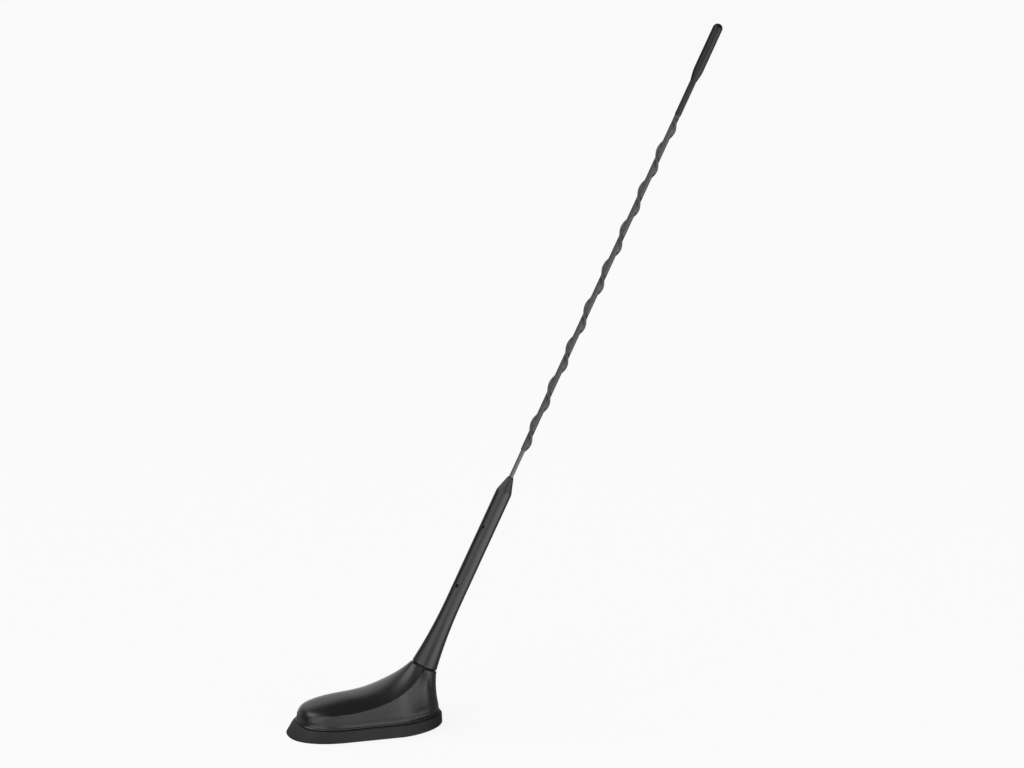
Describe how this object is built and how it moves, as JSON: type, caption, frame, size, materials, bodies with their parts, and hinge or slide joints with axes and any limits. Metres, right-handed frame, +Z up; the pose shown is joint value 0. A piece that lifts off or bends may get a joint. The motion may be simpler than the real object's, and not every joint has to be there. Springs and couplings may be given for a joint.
{
  "type": "car roof antenna",
  "caption": "Roof antenna for a car: a teardrop housing on a rubber gasket carries a screw-in mast that leans back, with a spiral sleeve and a tip cap.",
  "frame": {"origin": "on the axis of the roof bolt, in the plane of the gasket's underside, where it meets the roof", "axes": "+Z up from the roof, -X towards the car's front (the housing's nose), +X towards the rear, where the mast leans, +Y towards the car's right side"},
  "size_m": [0.2578, 0.0434, 0.3973],
  "materials": {
    "housing_plastic": "black moulded plastic with a fine satin grain",
    "gasket_rubber": "dark grey rubber, matt",
    "seal_rubber": "black rubber, matt",
    "die_casting": "die-cast, as cast, matt",
    "plated_steel": "zinc-plated steel",
    "socket_brass": "turned brass",
    "contact_bronze": "gilded spring bronze",
    "board_laminate": "green solder mask over glass laminate",
    "chip_plastic": "black moulding compound",
    "tinned_steel": "tinned sheet steel",
    "jack_plating": "nickel-plated brass",
    "white_insulator": "white insulating plastic",
    "rod_steel": "drawn steel with a dulled surface",
    "ferrule_plastic": "black moulded plastic, satin",
    "cord_plastic": "black plastic cord",
    "sleeve_plastic": "black shrink sleeve, satin",
    "end_sleeve_plastic": "black shrink sleeve, matt",
    "cap_plastic": "black moulded plastic, semi-gloss"
  },
  "bodies": {
    "base": {"housing": "housing_plastic", "base_gasket": "gasket_rubber", "base_plate": "die_casting", "plate_seal": "seal_rubber", "earth_ring": "plated_steel", "housing_screws": "plated_steel", "mast_socket": "socket_brass", "socket_contact": "contact_bronze", "amplifier_board": "board_laminate", "amplifier_chips": "chip_plastic", "shield_can": "tinned_steel", "board_screws": "plated_steel", "coax_jack": "jack_plating", "jack_insulator": "white_insulator", "centre_contact": "contact_bronze"},
    "seal": {"neck_seal": "seal_rubber"},
    "mast": {"mast_stud": "plated_steel", "mast_rod": "rod_steel", "ferrule": "ferrule_plastic", "spiral_cord": "cord_plastic", "mast_sleeve": "sleeve_plastic", "end_sleeve": "end_sleeve_plastic", "tip_cap": "cap_plastic"}
  },
  "joints": [
    {"name": "mast_lift", "type": "slide", "parent": "base", "child": "seal", "axis": [0.4352, 0, 0.9003], "range_m": [0, 0.008]},
    {"name": "mast_turn", "type": "hinge", "parent": "seal", "child": "mast", "pos_m": [0.0351, 0, 0.0346], "axis": [0.4352, 0, 0.9003], "range_deg": [0, 3600]}
  ],
  "couplings": [
    {"joint": "mast_turn", "follows": "mast_lift", "rad_per_m": 7854}
  ]
}
